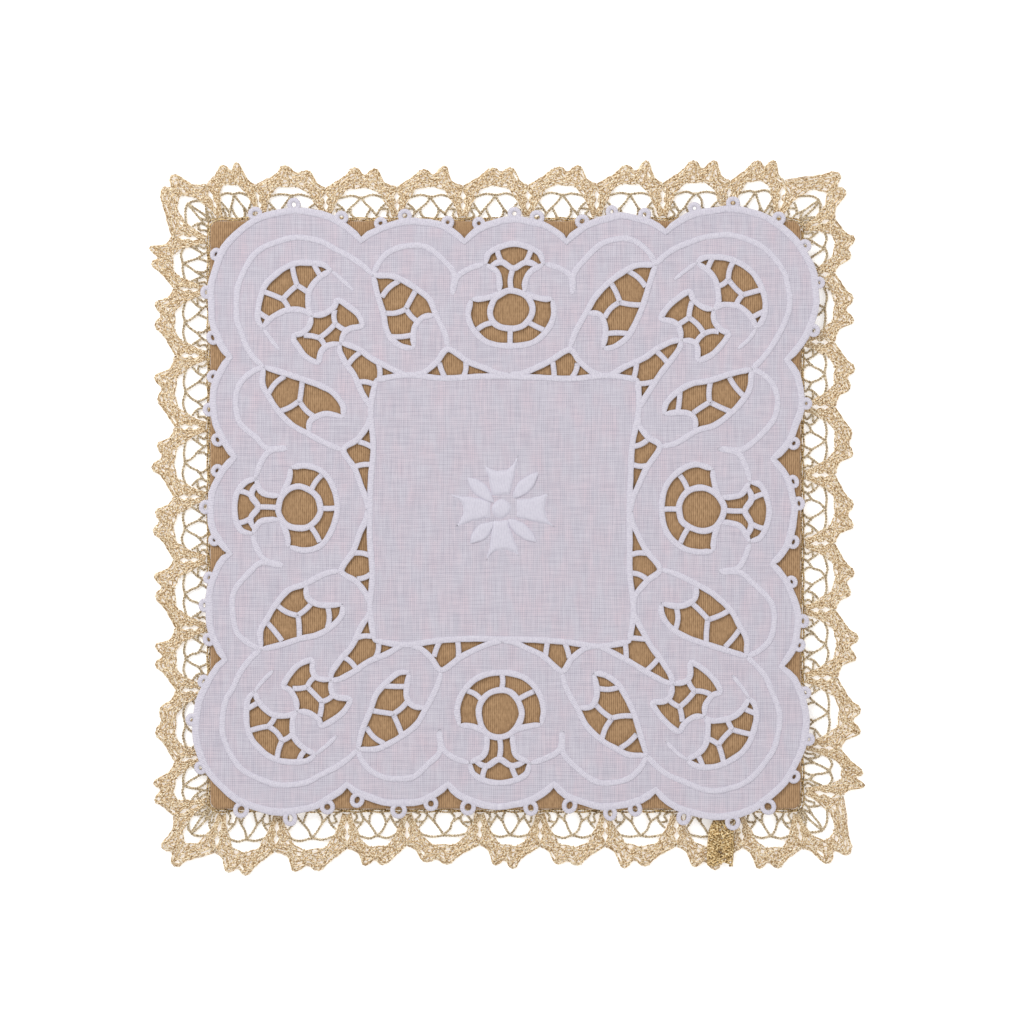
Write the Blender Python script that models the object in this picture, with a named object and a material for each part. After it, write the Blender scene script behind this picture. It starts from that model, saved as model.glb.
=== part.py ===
"""Chalice pall: a stiff square covered in gold-brown cloth, an edging of gold
bobbin lace round its sides, and a white cutwork linen cloth laid on top.
Metres, +Z up, rests on the underside of the board."""
import math

import bmesh
import bpy
from mathutils import Vector
from mathutils.geometry import delaunay_2d_cdt

# Driving dimensions, in millimetres
BOARD_X = 150.0
BOARD_Y = 149.4
BOARD_T = 3.0
BOARD_CORNER = 2.2
BOARD_EDGE = 0.8
GAP = 0.3
LACE_T = 0.9
CLOTH_T = 1.0
CLOTH_RELIEF = 0.5
CLOTH_Z = BOARD_T + GAP
CLOTH_SHIFT = (0.0, 1.0)
CLOTH_SHEAR = 0.021

# The cloth is charted in units of 0.254 mm: x along a side from its middle,
# y outwards from the middle of the cloth. Every list is half a side, and is
# mirrored in the middle of the side and turned to the other three sides.
UNIT = 0.254
CORD = 5.5
BAR = 5.0
BORDER = 6.5
NOTCH_1 = (51, 268)
NOTCH_2 = (152, 275)
LOBE_CENTRE = (216, 216)
LOBE_RADIUS = 86
ROSETTE = (0, 201.5)
MIN_WINDOW = 2.2
TAB = 2.0
TAB_REACH = 3.3

LEAF_CORNER_SIDE = [(142, 240), (137, 222), (130, 201), (125, 185), (117, 172), (105, 163.5), (94, 163)]
LEAF_CENTRE_SIDE = [(142, 240), (124, 240), (112, 234.5), (98, 226), (84, 213), (76, 198)]
LEAF_HEAD = [(76, 196), (88, 195), (94, 188), (96, 178), (94, 163)]
LEAF_BARS = [[(115, 234), (132.5, 219)], [(98, 223.5), (107, 205.5)], [(128, 202), (107, 204.5)],
             [(107, 204.5), (94, 192)]]
LEAF_TIP_BAR = [(119, 176), (97, 177)]
LEAF_TIP_BAR_SIDES = {0: (True, False), 1: (True, False), 2: (True, False), 3: (True,)}
HEAD_CORD = [(200, 200), (203.5, 206), (204.5, 213), (203.5, 224), (199.5, 232), (193, 238.5), (183, 244)]
RIM_CORD = [(183, 244), (190.5, 249.7), (202, 251.9), (216, 250.7), (228.5, 245.8), (238.2, 238.2)]
TAIL = [(183, 244), (172, 236), (161, 226)]
INNER_NET = [(170, 170), (167, 182), (160.5, 187), (149.5, 189), (155, 201), (164, 209), (172, 214.5),
             (177, 215), (179, 209), (188, 202), (200, 200)]
CORNER_BARS = [[(203, 222), (215, 229)], [(215, 229), (221, 249)], [(194, 240), (200, 251.5)],
               [(176, 191), (178, 206)], [(176, 191), (165, 184)], [(128.7, 148), (127, 133)]]
DIAGONAL_BARS = [[(176, 191), (191, 176)], [(146.4, 160), (160, 146.4)], [(215, 229), (229, 215)]]
STEM = [(170, 170), (162, 169), (148, 161.5), (136, 153), (117, 143.5), (106, 137.5), (100, 136)]
FRAME = [(132, 131), (100, 135.5), (65, 132.5), (30, 134), (0, 134.5)]
LOBE_INNER = [(95, 137), (85, 138.5), (71.5, 149), (60.5, 162), (41, 150), (24, 143), (10, 137.5), (0, 137)]
STRIP_BARS = [[(69, 148), (63, 133)], [(43.5, 150), (45.5, 134)]]
LEAF_LOBE_LINE = [(142, 240), (137, 251), (127, 262), (113, 267), (96, 267), (84, 262), (70, 248.5),
                  (60, 236), (61, 217)]

# Half a side's rosette from the middle of the side, as offsets from its centre
ROSETTE_LOWER = [(0, -36.5), (22.5, -32), (37.5, -20), (43, -5), (40.5, 10)]
ROSETTE_SHOULDER = [(40.5, 10), (29, 11), (18, 14.5), (12.5, 18)]
ROSETTE_NECK = [(12.5, 18), (13, 28), (16.5, 37.5), (29, 44)]
ROSETTE_CAP = [(29, 44), (26, 54.5), (15, 61.5), (0, 64)]
ROSETTE_SILL = [(24, 43.5), (12, 47), (0, 40.5)]
ROSETTE_BARS = [[(17, 60.5), (12, 47)], [(18.5, -12), (33.5, -20)],
                [(0, 40.5), (0, 18.8)], [(0, -18.8), (0, -36.5)]]
# Round hole of each side's rosette: depth as a share of its width
ROSETTE_HOLE_DEPTHS = [0.89, 0.98, 0.99, 0.96]

# Petals: where each forked one starts, its half width there, its notch, and its
# left and right tip; and where each narrow one starts and ends
FORKED_PETALS = [(13.9, 9.2, 38.2, (-17, 43), (17, 54.3)), (13.6, 8, 42.5, (-14, 46), (17, 51)),
                 (11.7, 7.6, 41.5, (-19.5, 48.5), (13.5, 53)), (13.4, 9.4, 41.8, (-17.6, 49), (18.2, 58))]
NARROW_PETALS = [((12, 10), (36, 37)), ((6.9, -10.5), (36.5, -33)), ((-6.5, -12.5), (-31, -35)),
                 ((-7, 6.5), (-34.5, 31))]

# How far the hand-laid cloth lies off the even chart: place, then shift, in chart units
CLOTH_LAY = [
    (-302, 200, 5, 0), (-205, 302, 2, -2), (-200, 200, 3.5, -6), (-240, 142, -7, 4.5), (-142, 240, 7, -6.5),
    (-152, 275, 1, -3.5), (-275, 152, -6, 0), (302, 200, 5, 0), (205, 302, 3, -1), (200, 200, 5, 2),
    (142, 240, 5, 8.5), (240, 142, 1.5, 1.5), (152, 275, -1, 5), (275, 152, 6, -3.5), (-302, -200, -4, 0),
    (-205, -302, 0, 2), (-200, -200, -6, -1), (-240, -142, -1, 3), (-142, -240, -2, 4), (-275, -152, -4, 7),
    (-152, -275, 0, 0), (302, -200, 3, 0), (205, -302, 5, -4), (200, -200, 3, -6.5), (240, -142, 3, -5),
    (142, -240, 6, -4), (275, -152, 8, -1), (152, -275, 2, -6.5), (0, 201, 1.5, -1), (-51, 268, 5, 2),
    (51, 268, 5, 2), (-132, 131, -2, 0), (132, 131, -1, 0), (-132, -131, 3, 2), (132, -131, -5, 1),
    (-268, 51, -2.5, 4), (-268, -51, -8, 14), (-290, 0, -4, 3), (-255, 0, -9, 3), (-201, 0, -5, 4),
    (268, 51, -1, 1), (268, -51, 1, -3.5), (262, 0, -3, 0), (201, 0, -6.5, 2), (-51, -268, -1.5, -6),
    (51, -268, 5, -6), (0, -290, 1, -1), (0, -262, -3, -13), (0, -201, -2, 0.5), (0, -134, 0, 9),
    (134, 72, -6, 0), (134, 10, -15, 0), (134, -40, -13, 0), (134, -95, -8, 0), (168, 66, -13, 7),
    (162, -62, -3, 4),
]
LAY_REACH = 32
LAY_HOLD = 0.25

# Where thread loops stand along the top, right, lower and left edge of the cloth
TAB_PLACES = [
    [-260, -213, -170, -129, -107, -67, -35, 4, 27, 70, 102, 136, 181, 219, 266],
    [-263, -225, -176, -108, -68, -28, -4, 34, 71, 106, 136, 177, 226, 266],
    [-268, -230, -183, -137, -109, -70, -31, 32, 67, 98, 139, 173, 212, 259],
    [-259, -212, -166, -126, -97, -66, -32, 1, 41, 69, 102, 139, 176, 222, 258],
]

for old in list(bpy.data.objects):
    bpy.data.objects.remove(old, do_unlink=True)


def material(name, colour, roughness, metallic=0.0):
    made = bpy.data.materials.new(name)
    made.use_nodes = True
    made.diffuse_color = (*colour, 1.0)
    shader = made.node_tree.nodes["Principled BSDF"]
    shader.inputs["Base Color"].default_value = (*colour, 1.0)
    shader.inputs["Roughness"].default_value = roughness
    shader.inputs["Metallic"].default_value = metallic
    return made


def arc(centre, radius, start, end, steps):
    """Points on a circle, angles in degrees anticlockwise from +x."""
    turn = [math.radians(start + (end - start) * i / steps) for i in range(steps + 1)]
    return [(centre[0] + radius * math.cos(a), centre[1] + radius * math.sin(a)) for a in turn]


def arc_through(a, b, c, steps):
    """The arc from a to c by way of b."""
    (ax, ay), (bx, by), (cx, cy) = a, b, c
    d = 2 * (ax * (by - cy) + bx * (cy - ay) + cx * (ay - by))
    sa, sb, sc = ax * ax + ay * ay, bx * bx + by * by, cx * cx + cy * cy
    ox = (sa * (by - cy) + sb * (cy - ay) + sc * (ay - by)) / d
    oy = (sa * (cx - bx) + sb * (ax - cx) + sc * (bx - ax)) / d
    first = math.degrees(math.atan2(ay - oy, ax - ox))
    last = math.degrees(math.atan2(cy - oy, cx - ox))
    if last - first > 180:
        last -= 360
    if first - last > 180:
        last += 360
    return arc((ox, oy), math.hypot(ax - ox, ay - oy), first, last, steps)


def swap(points):
    """Mirror across the corner diagonal."""
    return [(y, x) for x, y in points]


def mirror(points):
    """Mirror in the middle of the side."""
    return [(-x, y) for x, y in points]


def turned(points, quarter):
    for _ in range(quarter):
        points = [(y, -x) for x, y in points]
    return points


def placed(points):
    """Chart units to millimetres on the board, with the cloth's lean and uneven lay."""
    made = []
    for x, y in points:
        total, dx, dy = LAY_HOLD, 0.0, 0.0
        for px, py, sx, sy in CLOTH_LAY:
            weight = math.exp(-((x - px) ** 2 + (y - py) ** 2) / (2 * LAY_REACH ** 2))
            total += weight
            dx += weight * sx
            dy += weight * sy
        made.append((UNIT * (x + dx / total + CLOTH_SHEAR * y) + CLOTH_SHIFT[0],
                     UNIT * (y + dy / total) + CLOTH_SHIFT[1]))
    return made


def band(points, width, closed=False):
    """The four-cornered pieces of a strip along a line."""
    count = len(points)
    pairs = []
    for i, (x, y) in enumerate(points):
        before = points[i - 1] if i or closed else points[i]
        after = points[(i + 1) % count] if i < count - 1 or closed else points[i]
        dx, dy = after[0] - before[0], after[1] - before[1]
        length = math.hypot(dx, dy) or 1.0
        nx, ny = -dy / length * width / 2, dx / length * width / 2
        pairs.append(((x + nx, y + ny), (x - nx, y - ny)))
    last = count if closed else count - 1
    return [[pairs[i][1], pairs[(i + 1) % count][1], pairs[(i + 1) % count][0], pairs[i][0]]
            for i in range(last)]


def area(points):
    count = len(points)
    return 0.5 * sum(points[i][0] * points[(i + 1) % count][1] - points[(i + 1) % count][0] * points[i][1]
                     for i in range(count))


def inside(point, polygon):
    x, y = point
    within = False
    for i, (ax, ay) in enumerate(polygon):
        bx, by = polygon[i - 1]
        if (ay > y) != (by > y) and x < (bx - ax) * (y - ay) / (by - ay) + ax:
            within = not within
    return within


def triangulate(polygons):
    """Every polygon cut into one set of triangles, each with the polygons it lies in."""
    corners, faces = [], []
    for polygon in polygons:
        if area(polygon) < 0:
            polygon = polygon[::-1]
        faces.append(list(range(len(corners), len(corners) + len(polygon))))
        corners += [Vector(p) for p in polygon]
    out = delaunay_2d_cdt(corners, [], faces, 0, 2e-3, True)
    return [(v.x, v.y) for v in out[0]], [tuple(f) for f in out[2]], out[5]


def simplified(loop, slack):
    """Drop the corners of a closed loop that stand less than slack off the line."""
    points = list(loop)
    while len(points) > 4:
        worst, where = slack, None
        for i, (x, y) in enumerate(points):
            ax, ay = points[i - 1]
            bx, by = points[(i + 1) % len(points)]
            length = math.hypot(bx - ax, by - ay) or 1.0
            off = abs((bx - ax) * (ay - y) - (ax - x) * (by - ay)) / length
            if off < worst:
                worst, where = off, i
        if where is None:
            break
        points.pop(where)
    return points


def openings(strokes, nets, slack):
    """The holes that the strokes leave inside the nets, as closed loops."""
    points, triangles, owners = triangulate(strokes)
    free = [i for i, owner in enumerate(owners) if not owner]
    beside = {}
    for i in free:
        t = triangles[i]
        for k in range(3):
            beside.setdefault(frozenset((t[k], t[(k + 1) % 3])), []).append(i)
    group, loops = {}, []
    for i in free:
        if i in group:
            continue
        members, queue = [], [i]
        group[i] = i
        while queue:
            t = queue.pop()
            members.append(t)
            for k in range(3):
                for other in beside[frozenset((triangles[t][k], triangles[t][(k + 1) % 3]))]:
                    if other not in group:
                        group[other] = i
                        queue.append(other)
        sizes = [(abs(area([points[v] for v in triangles[t]])), t) for t in members]
        biggest = max(sizes)[1]
        middle = [sum(points[v][axis] for v in triangles[biggest]) / 3 for axis in (0, 1)]
        if sum(s for s, _ in sizes) < MIN_WINDOW or not any(inside(middle, net) for net in nets):
            continue
        following = {}
        for t in members:
            for k in range(3):
                a, b = triangles[t][k], triangles[t][(k + 1) % 3]
                if len(beside[frozenset((a, b))]) == 1:
                    following.setdefault(a, []).append(b)
        start = next(iter(following))
        loop, here = [], start
        while following.get(here):
            loop.append(here)
            here = following[here].pop()
        if here == start and len(loop) > 2:
            loops.append(simplified([points[v] for v in loop], slack))
    return loops


def plate(name, look, outline, holes, z, thickness, raised=(), relief=0.0):
    """A closed flat solid with holes through it and raised areas on its top."""
    mesh = bmesh.new()
    known = {}

    def corner(point, height):
        key = (round(point[0], 3), round(point[1], 3), round(height, 4))
        if key not in known:
            known[key] = mesh.verts.new((point[0] / 1000, point[1] / 1000, height / 1000))
        return known[key]

    def shape(polygons, hole_count):
        points, triangles, owners = triangulate(polygons)
        levels = []
        for owner in owners:
            if 0 not in owner or any(1 <= o <= hole_count for o in owner):
                levels.append(0)
            else:
                levels.append(2 if any(o > hole_count for o in owner) else 1)
        return points, triangles, levels

    points, triangles, levels = shape([outline, *holes, *raised], len(holes))
    below, flat, flat_levels = shape([outline, *holes], len(holes))
    heights = {0: z, 1: z + thickness, 2: z + thickness + relief}
    for t, level in zip(flat, flat_levels):
        if level:
            mesh.faces.new([corner(below[v], z) for v in reversed(t)])
    edges, around = {}, {}
    for t, level in zip(triangles, levels):
        for k in range(3):
            edges[(t[k], t[(k + 1) % 3])] = level
            around.setdefault(t[k], set()).add(level)
        if level:
            mesh.faces.new([corner(points[v], heights[level]) for v in t])
    for (a, b), level in edges.items():
        other = edges.get((b, a), 0)
        if level <= other:
            continue
        foot, top = heights[other], heights[level]
        low = [corner(points[a], foot), corner(points[b], foot)]
        high = [corner(points[b], top), corner(points[a], top)]
        if level - other == 2:
            if 1 in around[b]:
                high.insert(0, corner(points[b], heights[1]))
            if 1 in around[a]:
                high.append(corner(points[a], heights[1]))
        mesh.faces.new([low[1], low[0], *reversed(high)])
    bmesh.ops.triangulate(mesh, faces=[f for f in mesh.faces if len(f.verts) > 4])
    bmesh.ops.recalc_face_normals(mesh, faces=mesh.faces)
    data = bpy.data.meshes.new(name)
    mesh.to_mesh(data)
    mesh.free()
    made = bpy.data.objects.new(name, data)
    data.materials.append(look)
    bpy.context.scene.collection.objects.link(made)
    return made


# Board: a square with rounded corners and rounded upper and lower edges
def rounded_square(inset, steps=4):
    radius = BOARD_CORNER - inset
    half_x, half_y = BOARD_X / 2 - BOARD_CORNER, BOARD_Y / 2 - BOARD_CORNER
    points = []
    for quarter, (sx, sy) in enumerate(((1, 1), (-1, 1), (-1, -1), (1, -1))):
        points += arc((sx * half_x, sy * half_y), radius, 90 * quarter, 90 * quarter + 90, steps)
    return points


def board(look):
    rows = []
    for lean in (0, 45, 90):
        inset = BOARD_EDGE * (1 - math.sin(math.radians(lean)))
        rows.append((inset, BOARD_EDGE * (1 - math.cos(math.radians(lean)))))
    rows = rows + [(inset, BOARD_T - height) for inset, height in reversed(rows)]
    mesh = bmesh.new()
    loops = [[mesh.verts.new((x / 1000, y / 1000, height / 1000)) for x, y in rounded_square(inset)]
             for inset, height in rows]
    count = len(loops[0])
    for lower, upper in zip(loops, loops[1:]):
        for i in range(count):
            j = (i + 1) % count
            mesh.faces.new((lower[i], lower[j], upper[j], upper[i]))
    mesh.faces.new(list(reversed(loops[0])))
    mesh.faces.new(loops[-1])
    bmesh.ops.recalc_face_normals(mesh, faces=mesh.faces)
    data = bpy.data.meshes.new("board")
    mesh.to_mesh(data)
    mesh.free()
    made = bpy.data.objects.new("board", data)
    data.materials.append(look)
    bpy.context.scene.collection.objects.link(made)
    return made


# Lace: arches side by side round the board, one of them fanned round each
# corner. A pair gives where a tape meets the board along the side, and how far
# the lace stands out there as a share of its usual width.
TOP_FEET = [(-72.3, 1.12), (-62, 1.03), (-45.8, 0.92), (-27.6, 0.95), (-10.8, 0.98), (5.7, 1.0), (23.2, 1.04),
            (40, 1.06), (56.3, 1.13), (68.9, 1.17)]
RIGHT_FEET = [(72.9, 1.0), (60.5, 0.95), (44, 0.94), (27.5, 0.96), (10.2, 0.96), (-7.2, 0.95), (-24.1, 0.97),
              (-41.4, 1.03), (-58.9, 1.12), (-70, 1.2)]
BOTTOM_FEET = [(74, 1.12), (59.6, 1.08), (43.5, 1.04), (25.3, 1.05), (8.8, 1.05), (-6.5, 1.0), (-25.1, 1.02),
               (-40.3, 1.1), (-57.8, 1.2), (-72, 1.24)]
LEFT_FEET = [(-72.4, 1.13), (-61, 1.02), (-44.5, 0.96), (-28.7, 0.98), (-11.4, 1.03), (4.6, 1.03), (22.4, 0.99),
             (40.6, 0.99), (57.2, 1.03), (69.8, 1.1)]
# direction of each side, and how far its first and last foot lean to the corner
SIDES = [(90, 22, 11), (0, 16, 7), (-90, 8, 10), (180, 24, 6)]
ARCH_EDGE = [(-1, 8.8), (-0.62, 10.7), (-0.31, 13.4), (0, 11.8), (0.31, 13.4), (0.62, 10.7)]
HALF_MOON = [(-0.38, 7.0), (0.38, 7.0), (0.28, 8.6), (-0.28, 8.6)]
LEG_WINDOW = [(-0.70, 0.9), (-0.38, 0.9), (-0.1, 5.4), (-0.42, 6.1), (-0.62, 4.4)]
LAP_EDGE = [(-0.8, 1.2), (0.05, 1.2), (0.1, 6.6), (0.12, 12.4), (-0.25, 11.6), (-0.5, 13.2),
            (-0.75, 11.8), (-0.88, 8.6), (-0.8, 5.0)]


def lace_feet():
    """Every foot as a point beside the board, the direction it leans in and its reach."""
    out_x, out_y = BOARD_X / 2 + GAP, BOARD_Y / 2 + GAP
    sides = [[(u, out_y) for u, _ in TOP_FEET], [(out_x, u) for u, _ in RIGHT_FEET],
             [(u, -out_y) for u, _ in BOTTOM_FEET], [(-out_x, u) for u, _ in LEFT_FEET]]
    reaches = [[reach for _, reach in feet] for feet in (TOP_FEET, RIGHT_FEET, BOTTOM_FEET, LEFT_FEET)]
    feet = []
    for points, reach, (facing, first_lean, last_lean) in zip(sides, reaches, SIDES):
        leans = [first_lean, first_lean / 2] + [0] * (len(points) - 4) + [-last_lean / 2, -last_lean]
        for i, point in enumerate(points):
            feet.append((point, math.radians(facing + leans[i]), reach[i]))
    return feet


def arch_point(left, right, u, t):
    """A point of one arch: u from -1 at its left foot to 1 at its right, t mm outwards."""
    (ax, ay), a_turn, a_reach = left
    (bx, by), b_turn, b_reach = right
    while b_turn - a_turn > math.pi:
        b_turn -= 2 * math.pi
    while a_turn - b_turn > math.pi:
        b_turn += 2 * math.pi
    share = (u + 1) / 2
    turn = a_turn + (b_turn - a_turn) * share
    # the foot of a corner arch follows the corner instead of cutting across it
    x, y = ax + (bx - ax) * share, ay + (by - ay) * share
    if abs(a_turn - b_turn) > 0.6:
        corner_x, corner_y = math.copysign(BOARD_X / 2 + GAP, ax), math.copysign(BOARD_Y / 2 + GAP, ay)
        pull = 1 - abs(u)
        x, y = x + (corner_x - x) * pull, y + (corner_y - y) * pull
    t *= a_reach + (b_reach - a_reach) * share
    return x + t * math.cos(turn), y + t * math.sin(turn)


def lace(look):
    feet = lace_feet()
    edge, inner, holes = [], [], []
    for i, left in enumerate(feet):
        right = feet[(i + 1) % len(feet)]
        edge += [arch_point(left, right, u, t) for u, t in ARCH_EDGE]
        inner.append(left[0])
        if abs(left[1] - right[1]) > 0.6:
            inner.append(arch_point(left, right, 0, 0))
        mirrored = [(-u, t) for u, t in LEG_WINDOW]
        for window in (HALF_MOON, LEG_WINDOW, mirrored):
            holes.append([arch_point(left, right, u, t) for u, t in window])
    return plate("lace_edging", look, edge, [inner, *holes], 0.0, LACE_T)


def lace_lap(look):
    """The free end of the lace, laid over the join on the lower side."""
    feet = lace_feet()
    left, right = feet[21], feet[22]
    return plate("lace_lap", look, [arch_point(left, right, u, t) for u, t in LAP_EDGE], [],
                 LACE_T + GAP, LACE_T)


# Cutwork cloth
def outline_quarter():
    """The scalloped edge from the middle of one side to the middle of the next."""
    middle = arc_through((-NOTCH_1[0], NOTCH_1[1]), (0, 290), NOTCH_1, 8)[4:]
    scallop = arc_through(NOTCH_1, (108, 291), NOTCH_2, 7)
    start = math.degrees(math.atan2(NOTCH_2[1] - LOBE_CENTRE[1], NOTCH_2[0] - LOBE_CENTRE[0]))
    lobe = arc(LOBE_CENTRE, LOBE_RADIUS, start, 90 - start, 14)
    half = middle[:-1] + scallop[:-1]
    return half + lobe + swap(half)[::-1][:-1]


def with_tabs(chart_loop):
    """The cloth's edge on the board, with a small tab wherever a thread loop stands."""
    count = len(chart_loop)
    tabs = set()
    for quarter, places in enumerate(TAB_PLACES):
        side = turned(chart_loop, (4 - quarter) % 4)
        for place in places:
            tabs.add(min((i for i in range(count) if side[i][1] > 200),
                         key=lambda i: abs((side[i][0] + side[(i + 1) % count][0]) / 2 - place)))
    loop = placed(chart_loop)
    points = []
    for i, (x, y) in enumerate(loop):
        points.append((x, y))
        nx, ny = loop[(i + 1) % count]
        length = math.hypot(nx - x, ny - y)
        if i in tabs and length > TAB + 0.2:
            ux, uy = (nx - x) / length, (ny - y) / length
            first, last = (length - TAB) / 2, (length + TAB) / 2
            for along, out in ((first, 0), (first, TAB_REACH), (last, TAB_REACH), (last, 0)):
                points.append((x + ux * along - uy * out, y + uy * along + ux * out))
    return points


def both_halves(points):
    """Half a line and its mirror, joined where they meet in the middle of the side."""
    if points[-1][0] == 0:
        return points + mirror(points)[::-1][1:]
    return mirror(points)[::-1][:-1] + points


def at_rosette(points):
    return [(ROSETTE[0] + x, ROSETTE[1] + y) for x, y in points]


def rosette_net():
    half = ROSETTE_LOWER + ROSETTE_SHOULDER[1:] + ROSETTE_NECK[1:] + ROSETTE_CAP[1:]
    return at_rosette(half + mirror(half)[::-1][1:-1])


def cloth_chart():
    """All cords and bars of the openwork as strips, and the nets that hold the windows."""
    lines, nets = [], []
    corner = HEAD_CORD + RIM_CORD[1:]
    stem_half = [*STEM, (132, 131)]
    leaf = LEAF_CORNER_SIDE + LEAF_HEAD[::-1] + LEAF_CENTRE_SIDE[::-1]
    strip = LOBE_INNER + FRAME[::-1][:-1]
    side_nets = [leaf, mirror(leaf), strip, mirror(strip), corner + swap(corner)[::-1][1:],
                 INNER_NET + swap(INNER_NET)[::-1][1:-1], stem_half + swap(STEM)[::-1][:-1], rosette_net()]
    mirrored = [(line, CORD) for line in (LEAF_CORNER_SIDE, LEAF_CENTRE_SIDE, LEAF_HEAD, STEM, LOBE_INNER, FRAME,
                                          at_rosette(ROSETTE_SHOULDER), at_rosette(ROSETTE_NECK))]
    mirrored += [(bar, BAR) for bar in LEAF_BARS + STRIP_BARS + [at_rosette(bar) for bar in ROSETTE_BARS[:2]]]
    swapped = [(line, CORD) for line in (INNER_NET, HEAD_CORD, RIM_CORD)]
    swapped += [(bar, BAR) for bar in CORNER_BARS]
    single = [(at_rosette(both_halves(line)), CORD) for line in (ROSETTE_LOWER, ROSETTE_CAP, ROSETTE_SILL)]
    single += [(bar, BAR) for bar in DIAGONAL_BARS + [at_rosette(bar) for bar in ROSETTE_BARS[2:]]]
    both = single + mirrored + swapped
    both += [(mirror(points), width) for points, width in mirrored]
    both += [(swap(points), width) for points, width in swapped]
    for quarter in range(4):
        lines += [(turned(points, quarter), width) for points, width in both]
        for mirror_bar in LEAF_TIP_BAR_SIDES.get(quarter, ()):
            bar = mirror(LEAF_TIP_BAR) if mirror_bar else LEAF_TIP_BAR
            lines.append((turned(bar, quarter), BAR))
        ring = [(x, y * ROSETTE_HOLE_DEPTHS[quarter]) for x, y in arc((0, 0), 21.2, 0, 360, 14)]
        lines.append((turned(at_rosette(ring), quarter), CORD))
        nets += [turned(net, quarter) for net in side_nets]
    return lines, nets


def flower():
    """The raised cross in the middle: a dot, four forked petals and four narrow ones."""
    petals = [arc((0, 0), 9.6, 0, 330, 11)]
    for quarter, (base, half, notch, left, right) in enumerate(FORKED_PETALS):
        petals.append(turned([(-half, base), (half, base), right, (0, notch), left], quarter))
    for (ax, ay), (bx, by) in NARROW_PETALS:
        dx, dy = (bx - ax) * 0.19, (by - ay) * 0.19
        middle_x, middle_y = (ax + bx) / 2, (ay + by) / 2
        petals.append([(ax, ay), (middle_x + dy, middle_y - dx), (bx, by), (middle_x - dy, middle_y + dx)])
    return [[(x - 4.5, y + 2.3) for x, y in petal] for petal in petals]


def cloth(look):
    outline = []
    for quarter in range(4):
        outline += turned(outline_quarter(), quarter)
    lines, nets = cloth_chart()
    strokes = [placed(piece) for points, width in lines for piece in band(points, width)]
    windows = openings(strokes, [placed(net) for net in nets], 0.16)
    raised = []
    count = len(outline)
    inset = []
    for i, (x, y) in enumerate(outline):
        after, before = outline[(i + 1) % count], outline[i - 1]
        dx, dy = after[0] - before[0], after[1] - before[1]
        length = math.hypot(dx, dy)
        inset.append((x + BORDER * dy / length, y - BORDER * dx / length))
    for i in range(count):
        j = (i + 1) % count
        raised.append([outline[i], outline[j], inset[j], inset[i]])
    frame = [(-130, 129), (-65, 131), (0, 133), (65, 131)]
    ring = [point for quarter in range(4) for point in turned(frame, quarter)]
    raised += band(ring, 4.5, closed=True)
    second = arc((213, 213), 62.5, 122, -32, 8)
    for quarter in range(4):
        second_cord = [(145, 243), (151, 249), (164, 258.5), *second, (258.5, 164), (249, 151), (243, 145)]
        raised += band(turned(second_cord, quarter), CORD)
        for line in (TAIL[1:], swap(TAIL)[1:]):
            raised += band(turned(line, quarter), 3.5)
        for line in (LEAF_LOBE_LINE, mirror(LEAF_LOBE_LINE)):
            raised += band(turned(line[1:], quarter), CORD)
    raised += flower()
    return plate("cutwork_cloth", look, with_tabs(outline), windows, CLOTH_Z, CLOTH_T,
                 [placed(piece) for piece in raised], CLOTH_RELIEF)


board(material("board_fabric", (0.40, 0.25, 0.13), 0.8))
gold = material("gold_thread", (0.72, 0.52, 0.26), 0.4, 0.4)
lace(gold)
lace_lap(gold)
cloth(material("white_linen", (0.72, 0.69, 0.76), 0.85))
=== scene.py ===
import math

import bpy
import numpy as np
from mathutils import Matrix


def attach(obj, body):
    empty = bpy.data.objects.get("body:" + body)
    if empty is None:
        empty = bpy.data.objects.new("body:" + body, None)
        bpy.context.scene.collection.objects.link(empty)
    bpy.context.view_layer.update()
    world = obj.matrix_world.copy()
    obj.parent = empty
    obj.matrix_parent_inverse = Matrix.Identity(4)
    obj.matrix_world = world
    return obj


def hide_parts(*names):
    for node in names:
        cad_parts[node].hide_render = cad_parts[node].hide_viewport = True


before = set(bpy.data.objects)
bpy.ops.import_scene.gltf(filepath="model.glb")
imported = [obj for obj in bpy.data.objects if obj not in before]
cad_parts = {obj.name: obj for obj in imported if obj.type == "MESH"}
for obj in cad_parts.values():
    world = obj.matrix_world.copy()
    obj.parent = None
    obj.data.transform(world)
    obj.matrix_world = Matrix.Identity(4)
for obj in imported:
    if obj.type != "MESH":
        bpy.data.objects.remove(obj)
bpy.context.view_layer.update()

rng = np.random.default_rng(7)
mm = 0.001
print("frame loaded")


# A value that varies over a material, added, subtracted and multiplied like a number
class Tone:
    def __init__(self, paint, socket):
        self.paint = paint
        self.socket = socket

    def sum(self, operation, first, second):
        return self.paint.node("ShaderNodeMath", {"operation": operation}, {0: first, 1: second})

    def __add__(self, other):
        return self.sum("ADD", self, other)

    def __sub__(self, other):
        return self.sum("SUBTRACT", self, other)

    def __mul__(self, other):
        return self.sum("MULTIPLY", self, other)


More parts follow.
